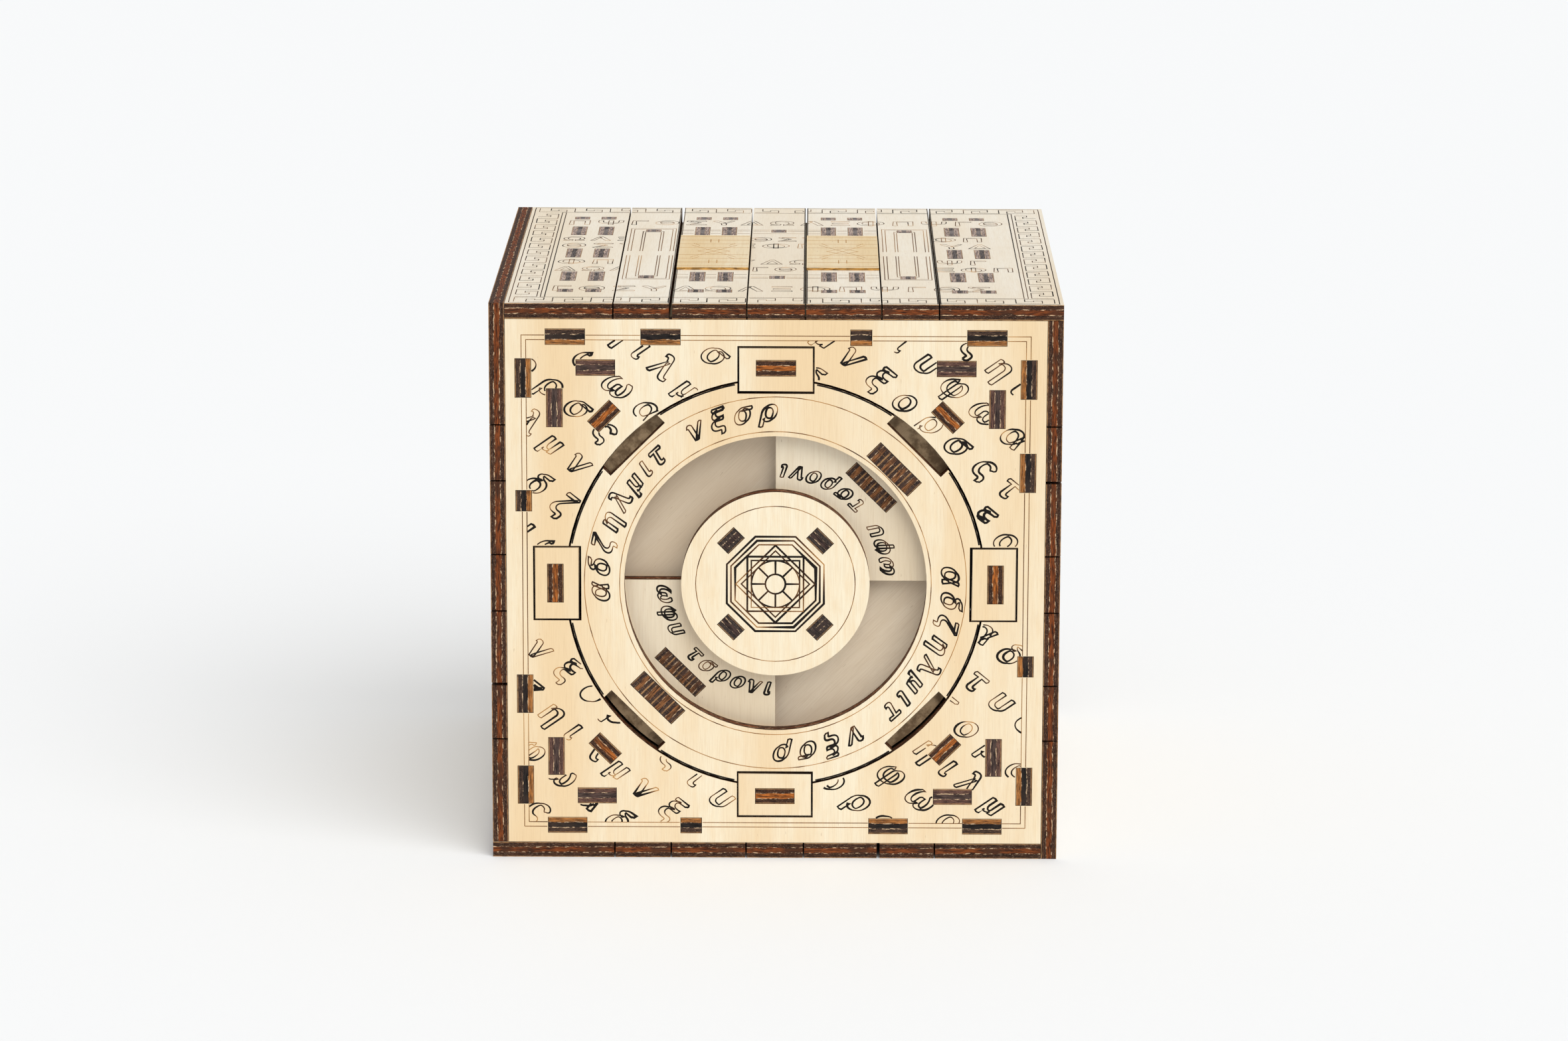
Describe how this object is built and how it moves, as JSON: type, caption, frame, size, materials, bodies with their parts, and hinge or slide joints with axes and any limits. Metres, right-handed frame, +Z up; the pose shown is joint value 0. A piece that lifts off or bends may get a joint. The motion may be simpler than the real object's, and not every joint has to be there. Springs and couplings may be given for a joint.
{
  "type": "puzzle box",
  "caption": "Laser-cut plywood puzzle cube with a slatted sliding shell, sliding bolts and a round lid with a dial.",
  "frame": {"origin": "centre of the underside of the slatted shell", "axes": "+Z up, -Y towards the viewer, out of the round lid; +X to the right seen from the lid side"},
  "size_m": [0.111, 0.11, 0.1105],
  "materials": {
    "shell_ply": "bare laser-cut birch plywood",
    "plate_ply": "bare laser-engraved birch plywood",
    "core_ply": "bare birch plywood, inner structure",
    "tab_ply": "bare birch plywood with scorched edges",
    "tile_ply": "thin yellow-toned engraved plywood",
    "smoked_ply": "smoke-stained birch plywood"
  },
  "bodies": {
    "shell": {"front_plate": "plate_ply", "back_plate": "plate_ply", "wall_top": "core_ply", "guide_frame_top": "core_ply", "corner_brace_top": "core_ply", "slat_top_1": "shell_ply", "slat_top_2": "shell_ply", "slat_top_6": "shell_ply", "slat_top_7": "shell_ply", "wall_right": "core_ply", "guide_frame_right": "core_ply", "corner_brace_right": "core_ply", "slat_right_1": "shell_ply", "slat_right_2": "shell_ply", "slat_right_6": "shell_ply", "slat_right_7": "shell_ply", "wall_bottom": "core_ply", "guide_frame_bottom": "core_ply", "corner_brace_bottom": "core_ply", "slat_bottom_1": "shell_ply", "slat_bottom_2": "shell_ply", "slat_bottom_6": "shell_ply", "slat_bottom_7": "shell_ply", "wall_left": "core_ply", "guide_frame_left": "core_ply", "corner_brace_left": "core_ply", "slat_left_1": "shell_ply", "slat_left_2": "shell_ply", "slat_left_6": "shell_ply", "slat_left_7": "shell_ply"},
    "bolt_top": {"slat_top_4": "shell_ply", "bolt_plate_top": "core_ply", "bolt_tab_top": "tab_ply"},
    "slider_top_3": {"slat_top_3": "shell_ply", "tile_top_3": "tile_ply"},
    "slider_top_5": {"slat_top_5": "shell_ply", "tile_top_5": "tile_ply"},
    "bolt_right": {"slat_right_4": "shell_ply", "bolt_plate_right": "core_ply", "bolt_tab_right": "tab_ply"},
    "slider_right_3": {"slat_right_3": "shell_ply", "tile_right_3": "tile_ply"},
    "slider_right_5": {"slat_right_5": "shell_ply", "tile_right_5": "tile_ply"},
    "bolt_bottom": {"slat_bottom_4": "shell_ply", "bolt_plate_bottom": "core_ply", "bolt_tab_bottom": "tab_ply"},
    "slider_bottom_3": {"slat_bottom_3": "shell_ply"},
    "slider_bottom_5": {"slat_bottom_5": "shell_ply"},
    "bolt_left": {"slat_left_4": "shell_ply", "bolt_plate_left": "core_ply", "bolt_tab_left": "tab_ply"},
    "slider_left_3": {"slat_left_3": "shell_ply", "tile_left_3": "tile_ply"},
    "slider_left_5": {"slat_left_5": "shell_ply", "tile_left_5": "tile_ply"},
    "lid": {"lid_ring": "plate_ply", "lid_tray": "smoked_ply"},
    "dial": {"dial_plate": "plate_ply", "centre_disc": "plate_ply"}
  },
  "joints": [
    {"name": "bolt_top_slide", "type": "slide", "parent": "shell", "child": "bolt_top", "axis": [0, 1, 0], "range_m": [0, 0.004]},
    {"name": "slider_top_3_slide", "type": "slide", "parent": "shell", "child": "slider_top_3", "axis": [0, 1, 0], "range_m": [0, 0.012]},
    {"name": "slider_top_5_slide", "type": "slide", "parent": "shell", "child": "slider_top_5", "axis": [0, 1, 0], "range_m": [0, 0.012]},
    {"name": "bolt_right_slide", "type": "slide", "parent": "shell", "child": "bolt_right", "axis": [0, 1, 0], "range_m": [0, 0.004]},
    {"name": "slider_right_3_slide", "type": "slide", "parent": "shell", "child": "slider_right_3", "axis": [0, 1, 0], "range_m": [0, 0.012]},
    {"name": "slider_right_5_slide", "type": "slide", "parent": "shell", "child": "slider_right_5", "axis": [0, 1, 0], "range_m": [0, 0.012]},
    {"name": "bolt_bottom_slide", "type": "slide", "parent": "shell", "child": "bolt_bottom", "axis": [0, 1, 0], "range_m": [0, 0.004]},
    {"name": "slider_bottom_3_slide", "type": "slide", "parent": "shell", "child": "slider_bottom_3", "axis": [0, 1, 0], "range_m": [0, 0.012]},
    {"name": "slider_bottom_5_slide", "type": "slide", "parent": "shell", "child": "slider_bottom_5", "axis": [0, 1, 0], "range_m": [0, 0.012]},
    {"name": "bolt_left_slide", "type": "slide", "parent": "shell", "child": "bolt_left", "axis": [0, 1, 0], "range_m": [0, 0.004]},
    {"name": "slider_left_3_slide", "type": "slide", "parent": "shell", "child": "slider_left_3", "axis": [0, 1, 0], "range_m": [0, 0.012]},
    {"name": "slider_left_5_slide", "type": "slide", "parent": "shell", "child": "slider_left_5", "axis": [0, 1, 0], "range_m": [0, 0.012]},
    {"name": "lid_pull", "type": "slide", "parent": "shell", "child": "lid", "axis": [0, -1, 0], "range_m": [0, 0.03]},
    {"name": "dial_turn", "type": "hinge", "parent": "lid", "child": "dial", "pos_m": [0, -0.0502, 0.055], "axis": [0, 1, 0], "continuous": true}
  ]
}
